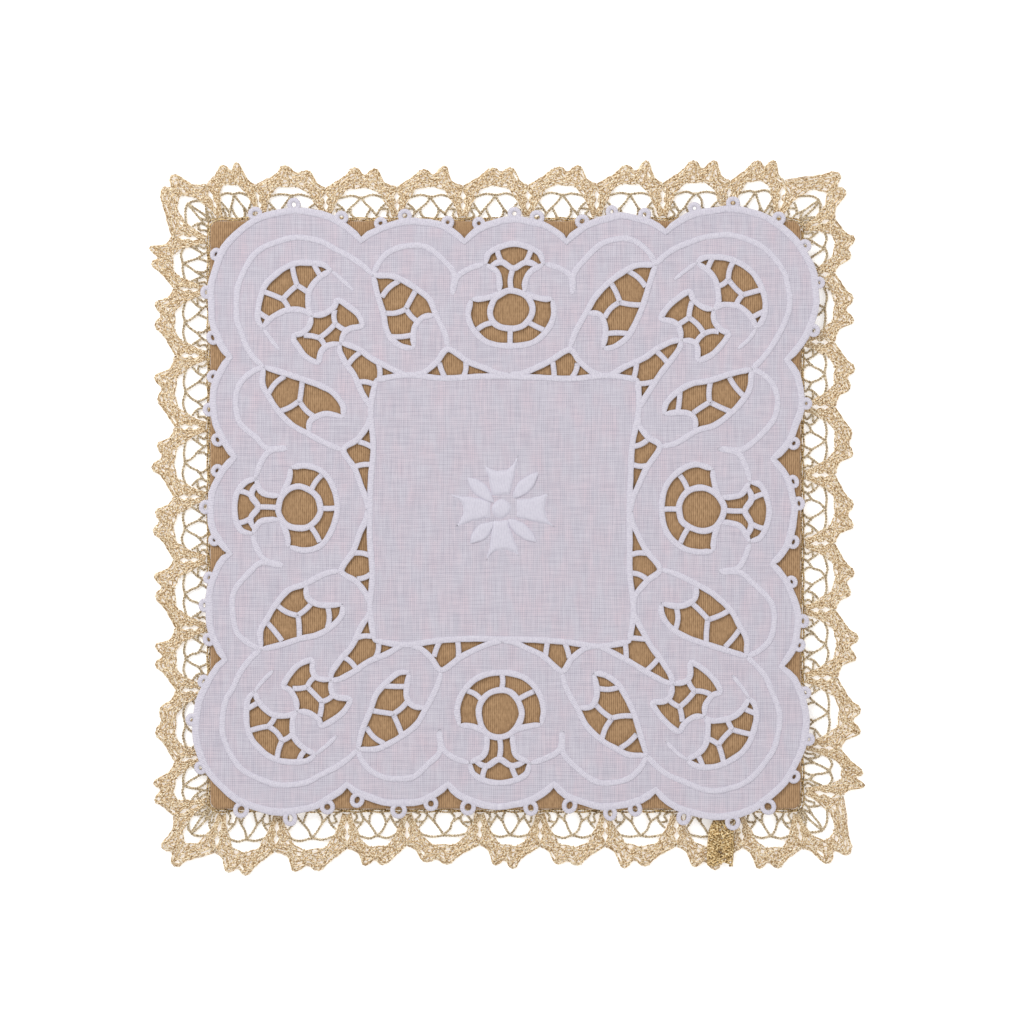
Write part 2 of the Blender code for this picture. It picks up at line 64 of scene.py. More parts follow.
class Paint:
    def __init__(self, name, roughness, metallic=0.0, sheen=0.0):
        self.material = bpy.data.materials.new(name)
        self.material.use_nodes = True
        self.tree = self.material.node_tree
        self.shader = self.tree.nodes["Principled BSDF"]
        self.shader.inputs["Roughness"].default_value = roughness
        self.shader.inputs["Metallic"].default_value = metallic
        self.shader.inputs["Sheen Weight"].default_value = sheen

    def node(self, kind, settings, values, output=0):
        made = self.tree.nodes.new(kind)
        for key, value in settings.items():
            setattr(made, key, value)
        for key, value in values.items():
            self.feed(made.inputs[key], value)
        return Tone(self, made.outputs[output])

    def feed(self, socket, value):
        if isinstance(value, Tone):
            self.tree.links.new(value.socket, socket)
        else:
            socket.default_value = value

    def place(self, stretch):
        base = self.node("ShaderNodeTexCoord", {}, {}, "Object")
        return self.node("ShaderNodeVectorMath", {"operation": "MULTIPLY"}, {0: base, 1: stretch})

    def axis(self, name, output="Object"):
        base = self.node("ShaderNodeTexCoord", {}, {}, output)
        return self.node("ShaderNodeSeparateXYZ", {}, {0: base}, name)

    def wave(self, position, pitch):
        return self.node("ShaderNodeMath", {"operation": "SINE"}, {0: position * (2 * math.pi / pitch)})

    def grain(self, stretch, detail):
        return self.node("ShaderNodeTexNoise", {},
                         {"Vector": self.place(stretch), "Scale": 1.0, "Detail": detail})

    def mix(self, factor, first, second):
        return self.node("ShaderNodeMix", {"data_type": "RGBA", "clamp_factor": True},
                         {0: factor, 6: (*first, 1) if isinstance(first, tuple) else first,
                          7: (*second, 1) if isinstance(second, tuple) else second}, 2)

    def finish(self, colour, height=None, depth=0.0, strength=0.0):
        self.feed(self.shader.inputs["Base Color"], colour)
        if height is not None:
            bump = self.node("ShaderNodeBump", {},
                             {"Height": height, "Distance": depth, "Strength": strength})
            self.feed(self.shader.inputs["Normal"], bump)
        return self.material


linenLook = {
    "shade": (0.430, 0.400, 0.475),
    "light": (0.650, 0.618, 0.690),
    "pink": (0.700, 0.590, 0.655),
    "threadPitch": 0.53 * mm,
    "sway": 0.5 * mm,
    "bump": 0.12 * mm,
}


def linenPaint():
    # plain weave: a grid of warp and weft threads, uneven in thickness, with a faint pink cast in patches
    paint = Paint("linenWeave", 0.9, sheen=0.2)
    across, along = paint.axis("X"), paint.axis("Y")
    pitch = linenLook["threadPitch"]
    sway = paint.grain((160, 160, 1), 2.0) * linenLook["sway"]
    grid = paint.wave(across + sway, pitch) + paint.wave(along + sway, pitch)
    warp = paint.grain((2000, 130, 1), 2.0)
    weft = paint.grain((130, 2000, 1), 2.0)
    threads = (warp + weft) * 0.95 - 0.35 + grid * 0.2
    patch = paint.grain((260, 110, 1), 3.0) * 3.0 - 1.2
    warm = paint.mix(patch, linenLook["light"], linenLook["pink"])
    colour = paint.mix(threads, linenLook["shade"], warm)
    return paint.finish(colour, threads, linenLook["bump"], 0.6)


cordLook = {
    "shade": (0.560, 0.530, 0.625),
    "light": (0.765, 0.730, 0.810),
    "stitchPitch": 0.42 * mm,
    "bump": 0.16 * mm,
}


def cordPaint():
    # close satin stitches across the cord, read from the cord's own length, uneven in tone
    paint = Paint("satinCord", 0.75, sheen=0.3)
    stitch = paint.wave(paint.axis("X", "UV"), cordLook["stitchPitch"])
    wander = paint.grain((1500, 1500, 1500), 3.0)
    ribs = stitch * 0.22 + wander * 1.3 - 0.05
    colour = paint.mix(ribs, cordLook["shade"], cordLook["light"])
    return paint.finish(colour, ribs, cordLook["bump"], 0.9)


petalLook = {
    "shade": (0.560, 0.535, 0.625),
    "light": (0.740, 0.712, 0.800),
    "stitchPitch": 0.4 * mm,
    "bump": 0.1 * mm,
}


def petalPaint():
    # long satin stitches that run the petal's length
    paint = Paint("satinPetal", 0.5, sheen=0.3)
    stitch = paint.wave(paint.axis("Y", "UV"), petalLook["stitchPitch"])
    wander = paint.grain((1500, 1500, 400), 2.0)
    ribs = stitch * 0.3 + wander * 0.8 + 0.1
    colour = paint.mix(ribs, petalLook["shade"], petalLook["light"])
    return paint.finish(colour, ribs, petalLook["bump"], 0.7)


boardLook = {
    "dark": (0.220, 0.115, 0.044),
    "light": (0.545, 0.335, 0.172),
    "ribPitch": 0.52 * mm,
    "crossPitch": 0.36 * mm,
    "bump": 0.1 * mm,
}


def boardPaint():
    # fine upright ribs with broken cross threads
    paint = Paint("ribbedCloth", 0.75, sheen=0.3)
    rib = paint.wave(paint.axis("X"), boardLook["ribPitch"])
    weft = paint.wave(paint.axis("Y"), boardLook["crossPitch"])
    fleck = paint.grain((2300, 700, 700), 3.0)
    tone = rib * 0.26 + weft * 0.08 + fleck * 1.2 - 0.13
    colour = paint.mix(tone, boardLook["dark"], boardLook["light"])
    return paint.finish(colour, tone, boardLook["bump"], 0.7)


# each gold: dark is painted shade, mid is the thread's own gold, glint is painted highlight
goldLook = {
    "goldThread": {"dark": (0.39, 0.235, 0.10), "mid": (0.91, 0.71, 0.45), "glint": (1.0, 0.95, 0.79)},
    "goldLeg": {"dark": (0.34, 0.25, 0.14), "mid": (0.70, 0.56, 0.37), "glint": (0.92, 0.82, 0.62)},
    # the lace's end and footing: a deeper, more saturated gold whose darker flecks are painted shade of
    # the tangle and of the board's edge
    "shadedGoldEnd": {"dark": (0.20, 0.11, 0.03), "mid": (0.88, 0.62, 0.28), "glint": (1.0, 0.90, 0.62)},
}


def goldPaint(name):
    # metal strip wound on a thread: its own gold, with painted glitter in flecks a fraction of a
    # millimetre long: dark flecks of painted shade and bright flecks of painted highlight
    look = goldLook[name]
    paint = Paint(name, 0.38, 0.3)
    fleck = paint.grain((2500, 2500, 2500), 2.0)
    # painted shade: dark flecks mixed into the thread's gold
    paintedShadeGold = paint.mix(fleck * 5.0 - 1.85, look["dark"], look["mid"])
    # painted highlight: glint flecks laid over that
    tone = paint.mix(fleck * 6.0 - 3.15, paintedShadeGold, look["glint"])
    return paint.finish(tone, fleck, 0.08 * mm, 0.8)


def putPiece(name, points, faces, look, uv=None, smooth=True):
    mesh = bpy.data.meshes.new(name)
    mesh.from_pydata(points.reshape(-1, 3).tolist(), [], faces)
    if uv is not None:
        layer = mesh.uv_layers.new(name="along")
        corner = np.empty(len(mesh.loops), dtype=np.int32)
        mesh.loops.foreach_get("vertex_index", corner)
        layer.data.foreach_set("uv", uv.reshape(-1, 2)[corner].astype(np.float32).ravel())
    mesh.polygons.foreach_set("use_smooth", np.full(len(mesh.polygons), smooth))
    mesh.materials.append(look)
    piece = bpy.data.objects.new(name, mesh)
    bpy.context.scene.collection.objects.link(piece)
    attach(piece, "root")
    return piece


def gridFaces(rows, columns, closedRows=False, closedColumns=False):
    # quads between neighbouring rows and columns of a grid of points
    r = np.arange(rows if closedRows else rows - 1)
    c = np.arange(columns if closedColumns else columns - 1)
    i, j = np.meshgrid(r, c, indexing="ij")
    i2, j2 = (i + 1) % rows, (j + 1) % columns
    corners = [i * columns + j, i2 * columns + j, i2 * columns + j2, i * columns + j2]
    return np.stack(corners, -1).reshape(-1, 4)


def catmullRom(a, b, c, d, t):
    # the smooth curve through four neighbouring points: t runs from 0 at b to 1 at c
    square, cube = t ** 2, t ** 3
    return 0.5 * (2 * b + (c - a) * t + (2 * a - 5 * b + 4 * c - d) * square
                  + (3 * b - a - 3 * c + d) * cube)


def smoothPath(points, step, closed=False):
    # a curve through all the points, sampled about every step
    p = np.asarray(points, float)
    if closed:
        p = np.vstack([p[-1:], p, p[:2]])
    else:
        p = np.vstack([2 * p[0] - p[1], p, 2 * p[-1] - p[-2]])
    a, b, c, d = p[:-3], p[1:-2], p[2:-1], p[3:]
    runs = []
    for k in range(len(b)):
        count = max(1, int(round(np.linalg.norm(c[k] - b[k]) / step)))
        t = (np.arange(count) / count)[:, None]
        runs.append(catmullRom(a[k], b[k], c[k], d[k], t))
    if not closed:
        runs.append(p[-2:-1])
    return np.vstack(runs)


def tube(path, halfWidth, halfHeight, sides, closed=False, roll=0.0, bulge=1.0):
    # an oval ring carried along the path, width level and height upright; a bulge under 1
    # raises sine and cosine to that power, which fills the oval out
    path = np.asarray(path, float)
    if closed:
        tangent = np.roll(path, -1, 0) - np.roll(path, 1, 0)
    else:
        tangent = np.gradient(path, axis=0)
    flat = np.stack([-tangent[:, 1], tangent[:, 0], np.zeros(len(path))], 1)
    flat /= np.maximum(np.linalg.norm(flat, axis=1, keepdims=True), 1e-12)
    turn = 2 * np.pi * (np.arange(sides) + roll) / sides
    wide = np.broadcast_to(halfWidth, len(path))[:, None, None]
    high = np.broadcast_to(halfHeight, len(path))[:, None, None]
    level = np.sign(np.cos(turn)) * np.abs(np.cos(turn)) ** bulge
    upright = np.sign(np.sin(turn)) * np.abs(np.sin(turn)) ** bulge
    ring = flat[:, None, :] * wide * level[None, :, None]
    points = path[:, None, :] + ring + np.array([0, 0, 1.0]) * high * upright[None, :, None]
    faces = gridFaces(len(path), sides, closed, True)[:, ::-1].tolist()
    if not closed:
        faces.append(list(range(sides)))
        faces.append([(len(path) - 1) * sides + k for k in range(sides)][::-1])
    length = np.concatenate([[0], np.cumsum(np.linalg.norm(np.diff(path, axis=0), axis=1))])
    if closed:
        # measured both ways from the start, so that the stitches meet where the ring closes
        length = np.minimum(length, length[-1] + np.linalg.norm(path[0] - path[-1]) - length)
    uv = np.stack([np.repeat(length, sides), np.tile(turn / (2 * np.pi), len(path)) * 2 * mm], 1)
    return points.reshape(-1, 3), faces, uv


def joined(parts):
    # several tubes in one mesh
    points, faces, uv, start = [], [], [], 0
    for partPoints, partFaces, partUv in parts:
        points.append(partPoints)
        faces += [[v + start for v in face] for face in partFaces]
        uv.append(partUv)
        start += len(partPoints)
    return np.vstack(points), faces, np.vstack(uv)


# Board: stiff square in ribbed cloth, its upper and lower edges rounded
boardSizes = {
    "halfX": 75.0 * mm,
    "halfY": 74.7 * mm,
    "thick": 3.0 * mm,
    "corner": 2.2 * mm,
    "edge": 0.8 * mm,
}


def makeBoard(look):
    # a rounded square drawn in at each height by a quarter circle at the upper and lower edge
    s = boardSizes
    turn = np.radians(np.arange(0, 360, 9) + 4.5)
    centreX = np.sign(np.cos(turn)) * (s["halfX"] - s["corner"])
    centreY = np.sign(np.sin(turn)) * (s["halfY"] - s["corner"])
    lean = np.radians(np.linspace(0, 90, 6))
    inset = s["edge"] * (1 - np.sin(lean))
    height = s["edge"] * (1 - np.cos(lean))
    inset = np.concatenate([inset, inset[::-1]])
    height = np.concatenate([height, s["thick"] - height[::-1]])
    radius = s["corner"] - inset[:, None]
    points = np.stack([centreX + radius * np.cos(turn), centreY + radius * np.sin(turn),
                       np.broadcast_to(height[:, None], (len(height), len(turn)))], -1)
    rows, columns = points.shape[:2]
    faces = gridFaces(rows, columns, False, True)[:, ::-1].tolist()
    faces.append(list(range(columns))[::-1])
    faces.append([(rows - 1) * columns + k for k in range(columns)])
    piece = putPiece("boardCover", points, faces, look, smooth=False)
    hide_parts("board")


# Cutwork chart in units of 0.254 mm: x along a side from its middle, y outwards.
# Each list is half a side; it is mirrored and turned to the other sides.
chart = {
    "unit": 0.254 * mm,
    "shift": (0.0, 1.0 * mm),
    "shear": 0.021,
    "layReach": 32,
    "layHold": 0.25,
    "notches": [(51, 268), (152, 275)],
    "lobeCentre": (216, 216),
    "lobeRadius": 86,
    "rosette": (0, 201.5),
    "cordWidth": 1.6 * mm,
    "tailWidth": 1.2 * mm,
    "barWidth": 1.4 * mm,
    "borderWidth": 1.85 * mm,
    "cordRise": 0.33 * mm,
    "clothZ": 3.3 * mm,
    "clothThick": 0.4 * mm,
}

leafCornerSide = [(142, 240), (137, 222), (130, 201), (125, 185), (117, 172), (105, 163.5), (94, 163)]
leafCentreSide = [(142, 240), (124, 240), (112, 234.5), (98, 226), (84, 213), (76, 198), (65, 178),
                  (60.5, 163)]
leafHead = [(76, 196), (88, 195), (94, 188), (96, 178), (94, 163)]
leafBars = [[(115, 234), (132.5, 219)], [(98, 223.5), (107, 205.5)], [(128, 202), (107, 204.5)],
            [(107, 204.5), (94, 192)]]
leafTipBar = [(119, 176), (97, 177)]
# on which sides of each quarter it is worked: True is the mirrored one
leafTipBarSides = [(True, False), (True, False), (True, False), (True,)]
leafLobeLine = [(142, 240), (137, 251), (127, 262), (113, 267), (96, 267), (84, 262), (70, 248.5),
                (60, 236), (61, 217)]
stem = [(170, 170), (162, 169), (148, 161.5), (136, 153), (117, 143.5), (106, 137.5), (100, 136)]
frameLine = [(132, 131), (100, 135.5), (65, 132.5), (30, 134), (0, 134.5)]
lobeInner = [(95, 137), (85, 138.5), (71.5, 149), (60.5, 162), (41, 150), (24, 143), (10, 137.5),
             (0, 137)]
stripBars = [[(69, 148), (63, 133)], [(43.5, 150), (45.5, 134)]]
cornerBars = [[(203, 222), (215, 229)], [(215, 229), (221, 249)],
              [(194, 240), (200, 251.5)], [(176, 191), (178, 206)], [(176, 191), (165, 184)],
              [(128.7, 148), (127, 133)]]
diagonalBars = [[(176, 191), (191, 176)], [(146.4, 160), (160, 146.4)], [(215, 229), (229, 215)]]

# how far the hand-laid cloth lies off the even chart: place, then shift, in chart units
clothLay = [
    (-302, 200, 5, 0), (-205, 302, 2, -2), (-200, 200, 3.5, -6), (-240, 142, -7, 4.5),
    (-142, 240, 7, -6.5), (-152, 275, 1, -3.5), (-275, 152, -6, 0), (302, 200, 5, 0),
    (205, 302, 3, -1), (200, 200, 5, 2), (142, 240, 5, 8.5), (240, 142, 1.5, 1.5),
    (152, 275, -1, 5), (275, 152, 6, -3.5), (-302, -200, -4, 0), (-205, -302, 0, 2),
    (-200, -200, -6, -1), (-240, -142, -1, 3), (-142, -240, -2, 4), (-275, -152, -4, 7),
    (-152, -275, 0, 0), (302, -200, 3, 0), (205, -302, 5, -4), (200, -200, 3, -6.5),
    (240, -142, 3, -5), (142, -240, 6, -4), (275, -152, 8, -1), (152, -275, 2, -6.5),
    (0, 201, 1.5, -1), (-51, 268, 5, 2), (51, 268, 5, 2), (-132, 131, -2, 0),
    (132, 131, -1, 0), (-132, -131, 3, 2), (132, -131, -5, 1), (-268, 51, -2.5, 4),
    (-268, -51, -8, 14), (-290, 0, -4, 3), (-255, 0, -9, 3), (-201, 0, -5, 4),
    (268, 51, -1, 1), (268, -51, 1, -3.5), (262, 0, -3, 0), (201, 0, -6.5, 2),
    (-51, -268, -1.5, -6), (51, -268, 5, -6), (0, -290, 1, -1), (0, -262, -3, -13),
    (0, -201, -2, 0.5), (0, -134, 0, 9), (134, 72, -6, 0), (134, 10, -15, 0),
    (134, -40, -13, 0), (134, -95, -8, 0), (168, 66, -13, 7), (162, -62, -3, 4),
]


def arc(centre, radius, first, last, steps):
    turn = np.radians(np.linspace(first, last, steps + 1))
    return [(centre[0] + radius * math.cos(a), centre[1] + radius * math.sin(a)) for a in turn]


def arcThrough(a, b, c, steps):
    # the circle through three points, from a to c by way of b
    (ax, ay), (bx, by), (cx, cy) = a, b, c
    d = 2 * (ax * (by - cy) + bx * (cy - ay) + cx * (ay - by))
    sa, sb, sc = ax * ax + ay * ay, bx * bx + by * by, cx * cx + cy * cy
    ox = (sa * (by - cy) + sb * (cy - ay) + sc * (ay - by)) / d
    oy = (sa * (cx - bx) + sb * (ax - cx) + sc * (bx - ax)) / d
    first = math.degrees(math.atan2(ay - oy, ax - ox))
    last = math.degrees(math.atan2(cy - oy, cx - ox))
    last -= 360 * round((last - first) / 360)
    return arc((ox, oy), math.hypot(ax - ox, ay - oy), first, last, steps)


def swap(points):
    return [(y, x) for x, y in points]


def mirror(points):
    return [(-x, y) for x, y in points]


def turned(points, quarter):
    for k in range(quarter):
        points = [(y, -x) for x, y in points]
    return points


def placed(points):
    # chart units to metres: each point shifts by the near-by lay offsets, weighed by a bell curve of
    # distance, and by a small sine wobble of the needlework
    p = np.asarray(points, float)
    lay = np.array(clothLay)
    away = ((p[:, None, :] - lay[None, :, :2]) ** 2).sum(-1)
    weight = np.exp(-away / (2 * chart["layReach"] ** 2))
    shift = (weight[:, :, None] * lay[None, :, 2:]).sum(1) / (weight.sum(1) + chart["layHold"])[:, None]
    x = chart["unit"] * (p[:, 0] + shift[:, 0] + chart["shear"] * p[:, 1])
    y = chart["unit"] * (p[:, 1] + shift[:, 1])
    wobbleX = 0.11 * mm * np.sin(y * 720 + 1.3) + 0.07 * mm * np.sin(y * 2100 + x * 900)
    wobbleY = 0.11 * mm * np.sin(x * 680 + 0.4) + 0.07 * mm * np.sin(x * 2300 - y * 800)
    return np.stack([x + wobbleX + chart["shift"][0], y + wobbleY + chart["shift"][1]], 1)


def lift(flat, height):
    # flat points raised to a height, with the cloth's slow ripple
    x, y = flat[:, 0], flat[:, 1]
    ripple = 0.08 * mm * np.sin(x * 230 + 1.1) * np.sin(y * 205 + 0.7)
    return np.column_stack([flat, height + ripple])


def outlineQuarter():
    first, second = chart["notches"]
    middle = arcThrough((-first[0], first[1]), (0, 290), first, 16)[8:]
    scallop = arcThrough(first, (108, 291), second, 14)
    centreX, centreY = chart["lobeCentre"]
    start = math.degrees(math.atan2(second[1] - centreY, second[0] - centreX))
    lobe = arc(chart["lobeCentre"], chart["lobeRadius"], start, 90 - start, 30)
    half = middle[:-1] + scallop[:-1]
    return half + lobe + swap(half)[::-1][:-1]


def clothOutline():
    points = []
    for quarter in range(4):
        points += turned(outlineQuarter(), quarter)
    return placed(points)


# a corner's scroll heads: cord round one head, outer rim of its net, and the tail beyond its tip
headCord = [(200, 200), (203.5, 206), (204.5, 213), (203.5, 224), (199.5, 232), (193, 238.5), (183, 244)]
rimCord = [(183, 244), (190.5, 249.7), (202, 251.9), (216, 250.7), (228.5, 245.8), (238.2, 238.2)]
tailCord = [(183, 244), (172, 236), (161, 226)]
innerNet = [(170, 170), (167, 182), (160.5, 187), (149.5, 189), (155, 201), (164, 209), (172, 214.5),
            (177, 215), (179, 209), (188, 202), (200, 200)]


# Half a side's rosette, from the middle of the side, as offsets from its centre
rosetteLower = [(0, -36.5), (22.5, -32), (37.5, -20), (43, -5), (40.5, 10)]
rosetteShoulder = [(40.5, 10), (29, 11), (18, 14.5), (12.5, 18)]
rosetteNeck = [(12.5, 18), (13, 28), (16.5, 37.5), (29, 44)]
rosetteCap = [(29, 44), (26, 54.5), (15, 61.5), (0, 64)]
rosetteSill = [(24, 43.5), (12, 47), (0, 40.5)]
rosetteSideBars = [[(17, 60.5), (12, 47)], [(18.5, -12), (33.5, -20)]]
# round hole of each side's rosette: its depth as a share of its width differs from side to side
rosetteHoleRadius = 21.2
rosetteHoleDepths = [0.89, 0.98, 0.99, 0.96]
rosetteMiddleBars = [[(0, 40.5), (0, 18.8)], [(0, -18.8), (0, -36.5)]]
rosetteLine = [(30, 246), (45, 241.5), (57, 233), (60, 216)]


def atRosette(points):
    return [(chart["rosette"][0] + x, chart["rosette"][1] + y) for x, y in points]


def bothHalves(points):
    # half a line and its mirror, joined where they meet on the middle
    return points + mirror(points)[::-1][1:] if points[-1][0] == 0 else mirror(points)[::-1][:-1] + points


def rosetteOpening():
    half = rosetteLower + rosetteShoulder[1:] + rosetteNeck[1:] + rosetteCap[1:]
    return atRosette(half + mirror(half)[::-1][1:-1])


def within(x, y, polygon):
    # even-odd crossing count of a polygon, for arrays of points
    inside = np.zeros(x.shape, bool)
    for (ax, ay), (bx, by) in zip(polygon, np.roll(polygon, 1, 0)):
        with np.errstate(divide="ignore", invalid="ignore"):
            crossing = (bx - ax) * (y - ay) / (by - ay) + ax
        inside ^= ((ay > y) != (by > y)) & (x < crossing)
    return inside


def netShapes():
    shapes = []
    corner = headCord + rimCord[1:]
    stemNet = [*stem, (132, 131)]
    for quarter in range(4):
        leaf = leafCornerSide + leafHead[::-1] + leafCentreSide[:6][::-1]
        strip = lobeInner + frameLine[::-1][:-1]
        sideShapes = [leaf, mirror(leaf), strip, mirror(strip), corner + swap(corner)[::-1][1:],
                      innerNet + swap(innerNet)[::-1][1:-1], stemNet + swap(stem)[::-1][:-1],
                      rosetteOpening()]
        shapes += [placed(turned(shape, quarter)) for shape in sideShapes]
    return shapes


linenSizes = {"cell": 0.7 * mm, "reach": 82 * mm}


def makeLinen(look, outline):
    # level squares in rows and columns, kept where they lie on the cloth and off its openings
    cell, reach = linenSizes["cell"], linenSizes["reach"]
    ticks = np.arange(-reach, reach, cell)
    x, y = np.meshgrid(ticks, ticks, indexing="ij")
    middleX, middleY = x[:-1, :-1] + cell / 2, y[:-1, :-1] + cell / 2
    keep = within(middleX, middleY, outline)
    for shape in netShapes():
        keep &= ~within(middleX, middleY, shape)
    count = len(ticks)
    quads = gridFaces(count, count).reshape(count - 1, count - 1, 4)[keep]
    used, index = np.unique(quads, return_inverse=True)
    index = index.reshape(quads.shape)
    flat = np.column_stack([x.ravel()[used], y.ravel()[used]])
    top = lift(flat, chart["clothZ"] + chart["clothThick"])
    under = lift(flat, chart["clothZ"])
    n = len(used)
    edges = np.concatenate([index[:, [k, (k + 1) % 4]] for k in range(4)])
    code = edges[:, 0] * np.int64(n) + edges[:, 1]
    back = edges[:, 1] * np.int64(n) + edges[:, 0]
    rim = edges[~np.isin(code, back)]
    walls = np.stack([rim[:, 1], rim[:, 0], rim[:, 0] + n, rim[:, 1] + n], 1)
    faces = np.vstack([index, index[:, ::-1] + n, walls]).tolist()
    piece = putPiece("linenGround", np.vstack([top, under]), faces, look, smooth=False)
    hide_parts("cutwork_cloth")
    float(keep.sum() * cell * cell)


# the line round each corner inside its edge: in from one leaf tip, round, out to the other
cornerLine = [(142, 240), (151, 249), (164, 258.5), *arc((213, 213), 62.5, 122, -32, 14),
              (258.5, 164), (249, 151), (240, 142)]
cordSizes = {"step": 0.8 * mm, "sides": 12, "bulge": 0.75}
barSizes = {"sides": 10, "bulge": 0.8, "bow": 0.1, "drop": 0.05 * mm, "rise": 0.85}


def makeCords(look, outline):
    # raised cords: an oval ring carried along each charted line, narrowed at loose ends
    z = chart["clothZ"] + chart["cordRise"]
    cords, bars = [], []
    own = np.random.default_rng(31)

    def addCord(points, quarter, width=chart["cordWidth"], closed=False):
        # thinner in the two rings at a loose end, and a little uneven all along
        path = smoothPath(placed(turned(points, quarter)), cordSizes["step"], closed)
        ring = np.arange(len(path))
        fade = np.ones(len(path)) if closed else np.clip(np.minimum(ring, ring[::-1]) / 3 + 0.45, 0, 1)
        fade = fade * (1 + 0.07 * np.sin(ring * 0.9 + quarter) * np.sin(ring * 0.37))
        cords.append(tube(lift(path, z), width / 2 * fade, chart["cordRise"] * fade,
                          cordSizes["sides"], closed, bulge=cordSizes["bulge"]))

    def addBar(points, quarter):
        # a bar bows a little to one side or the other
        ends = placed(turned(points, quarter))
        t = np.linspace(0, 1, 7)[:, None]
        along = ends[1] - ends[0]
        bow = np.array([-along[1], along[0]]) * own.uniform(-barSizes["bow"], barSizes["bow"])
        path = ends[0] + along * t + bow * np.sin(np.pi * t)
        rise = chart["cordRise"] * barSizes["rise"]
        bars.append(tube(lift(path, z - barSizes["drop"]), chart["barWidth"] / 2, rise,
                         barSizes["sides"], bulge=barSizes["bulge"]))

    for quarter in range(4):
        for line in (leafCornerSide, leafCentreSide, leafHead, leafLobeLine, stem, lobeInner,
                     rosetteLine):
            addCord(line, quarter)
            addCord(mirror(line), quarter)
        for line in (atRosette(rosetteShoulder), atRosette(rosetteNeck)):
            addCord(line, quarter)
            addCord(mirror(line), quarter)
        for line in (innerNet, headCord):
            addCord(line, quarter)
            addCord(swap(line), quarter)
        for line in (tailCord, swap(tailCord)):
            addCord(line, quarter, chart["tailWidth"])
        addCord(rimCord + swap(rimCord)[::-1][1:], quarter)
        for line in (rosetteLower, rosetteCap, rosetteSill):
            addCord(atRosette(bothHalves(line)), quarter)
        deep = rosetteHoleDepths[quarter]
        hole = [(x, y * deep) for x, y in arc((0, 0), rosetteHoleRadius, 0, 340, 17)]
        addCord(atRosette(hole), quarter, closed=True)
        addCord(cornerLine, quarter)
        addCord(bothHalves(frameLine), quarter)
        for bar in leafBars + stripBars + [atRosette(bar) for bar in rosetteSideBars]:
            addBar(bar, quarter)
            addBar(mirror(bar), quarter)
        for mirrorBar in leafTipBarSides[quarter]:
            addBar(mirror(leafTipBar) if mirrorBar else leafTipBar, quarter)
        for bar in cornerBars:
            addBar(bar, quarter)
            addBar(swap(bar), quarter)
        for bar in diagonalBars + [atRosette(bar) for bar in rosetteMiddleBars]:
            addBar(bar, quarter)
    ring = np.arange(len(outline))
    swell = 1 + 0.08 * np.sin(ring * 0.8) * np.sin(ring * 0.31)
    border = tube(lift(outline, z), chart["borderWidth"] / 2 * swell, chart["cordRise"] * 1.1,
                  cordSizes["sides"], True, bulge=cordSizes["bulge"])
    for name, parts in (("satinCords", cords), ("openworkBars", bars), ("scallopBorder", [border])):
        points, faces, uv = joined(parts)
        putPiece(name, points, faces, look, uv)


# where thread loops stand along each edge of the cloth, in chart units; a loop's depth out from
# the edge as a share of its width, and how much larger it is than the usual one; sideFrom: how
# far out from the cloth's middle its edge belongs to one side
loopSizes = {
    "outer": 3.8 * mm,
    "thread": 1.25 * mm,
    "usualClear": 0.35 * mm,
    "clear": 0.3 * mm,
    "sideFrom": 200,
    "depth": {"top": 0.9, "right": 0.75, "bottom": 1.0, "left": 0.75},
    "larger": {"top": 1.0, "right": 1.0, "bottom": 1.15, "left": 1.0},
    "top": [-260, -213, -170, -129, -107, -67, -35, 4, 27, 70, 102, 136, 181, 219, 266],
    "right": [-263, -225, -176, -108, -68, -28, -4, 34, 71, 106, 136, 177, 226, 266],
    "bottom": [-268, -230, -183, -137, -109, -70, -31, 32, 67, 98, 139, 173, 212, 259],
    "left": [-259, -212, -166, -126, -97, -66, -32, 1, 41, 69, 102, 139, 176, 222, 258],
}


def makeEdgeLoops(look, outline):
    # small rings of cord that stand on the outside of the scalloped edge, each where its middle
    # comes nearest to its charted place along the side
    z = chart["clothZ"] + chart["cordRise"]
    rings = []
    tangent = np.roll(outline, -1, 0) - np.roll(outline, 1, 0)
    out = np.stack([-tangent[:, 1], tangent[:, 0]], 1) / np.linalg.norm(tangent, axis=1, keepdims=True)
    stand = (loopSizes["outer"] - loopSizes["thread"]) / 2
    middles = outline + out * (stand + loopSizes["usualClear"])
    level = (middles - chart["shift"]) / chart["unit"]
    level[:, 0] -= chart["shear"] * level[:, 1]
    for quarter, name in enumerate(("top", "right", "bottom", "left")):
        side = np.array(turned(level.tolist(), (4 - quarter) % 4))
        facing = np.flatnonzero(side[:, 1] > loopSizes["sideFrom"])
        depth = loopSizes["depth"][name]
        for place in loopSizes[name]:
            k = facing[np.argmin(np.abs(side[facing, 0] - place))]
            radius = stand * rng.uniform(0.9, 1.08) * loopSizes["larger"][name]
            turn = np.linspace(np.pi, 3 * np.pi, 15)[:-1]
            stretch = rng.uniform(0.82, 1.0)
            across = np.array([out[k, 1], -out[k, 0]])
            middle = outline[k] + out[k] * (radius * depth + loopSizes["clear"])
            circle = (middle + radius * depth * np.outer(np.cos(turn), out[k])
                      + radius * stretch * np.outer(np.sin(turn), across))
            rings.append(tube(lift(circle, z), loopSizes["thread"] / 2, chart["cordRise"] * 0.9, 8, True))
    points, faces, uv = joined(rings)
    putPiece("edgeLoops", points, faces, look, uv)
    print("edge loops:", len(rings))


